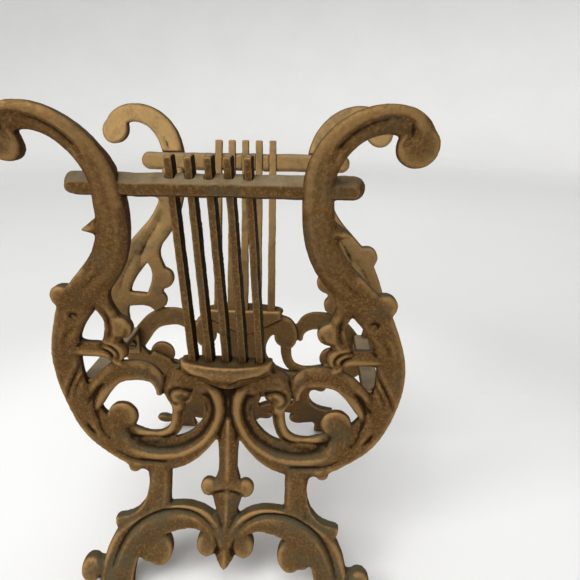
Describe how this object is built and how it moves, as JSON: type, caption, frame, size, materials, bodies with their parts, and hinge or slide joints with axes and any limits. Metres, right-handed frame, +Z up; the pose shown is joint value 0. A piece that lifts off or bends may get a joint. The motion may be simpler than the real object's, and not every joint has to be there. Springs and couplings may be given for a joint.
{
  "type": "lyre magazine rack",
  "caption": "Free-standing cast openwork rack: twin lyre-shaped panels with bar strings, joined low down by cross straps, that holds magazines or sheet music between them.",
  "frame": {"origin": "middle of the footprint on the surface that the rack stands on", "axes": "+X to the right seen from the front, +Y towards the rear panel, +Z up"},
  "size_m": [0.2048, 0.1716, 0.2765],
  "materials": {
    "casting": "sand-cast iron under worn brown-gold bronze paint",
    "crossbar": "worn brown-gold bronze paint, dusty top",
    "string": "bronze paint on the outer face, near-black bare sides",
    "strap": "dull bronze paint",
    "screw": "painted over, dark"
  },
  "bodies": {
    "root": {"front_lyre_casting": "casting", "rear_lyre_casting": "casting", "front_crossbar": "crossbar", "rear_crossbar": "crossbar", "left_tie_strap": "strap", "right_tie_strap": "strap", "strap_screws": "screw", "front_string_1": "string", "front_string_2": "string", "front_string_3": "string", "front_string_4": "string", "front_string_5": "string", "rear_string_1": "string", "rear_string_2": "string", "rear_string_3": "string", "rear_string_4": "string", "rear_string_5": "string"}
  },
  "joints": []
}
